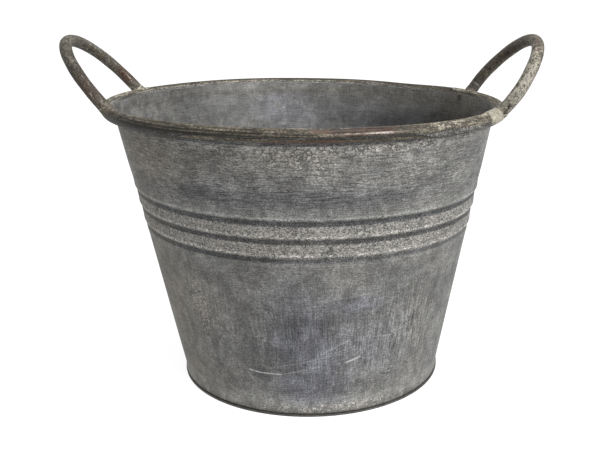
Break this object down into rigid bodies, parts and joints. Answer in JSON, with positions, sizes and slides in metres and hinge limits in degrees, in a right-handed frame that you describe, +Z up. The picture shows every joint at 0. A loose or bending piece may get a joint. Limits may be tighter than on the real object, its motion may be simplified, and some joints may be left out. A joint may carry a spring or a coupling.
{
  "type": "florist bucket",
  "caption": "Tapered galvanised florist bucket with a rolled rim, swaged beads round its upper half, a folded foot and loop handles of bent round bar that lean outward from the rim.",
  "frame": {"origin": "on the bucket's vertical axis, at the face it stands on", "axes": "+Z up, the handles on -X and +X, the lapped back half of the wall on +Y"},
  "size_m": [0.3881, 0.3299, 0.2857],
  "materials": {
    "zinc_sheet": "dull aged galvanised sheet steel with dark stains, fine scratches and pale crackled patches; the rolled edge is worn to a brown patina",
    "round_bar": "worn zinc over steel bar, grey-brown with rust-brown areas near the rim",
    "weld": "rough wiped solder over the weld, pale cream-grey"
  },
  "bodies": {
    "root": {"wall_front": "zinc_sheet", "wall_back": "zinc_sheet", "bottom_pan": "zinc_sheet", "rim_ring": "round_bar", "handle_left": "round_bar", "handle_right": "round_bar", "weld_left_front": "weld", "weld_left_back": "weld", "weld_right_front": "weld", "weld_right_back": "weld"}
  },
  "joints": []
}
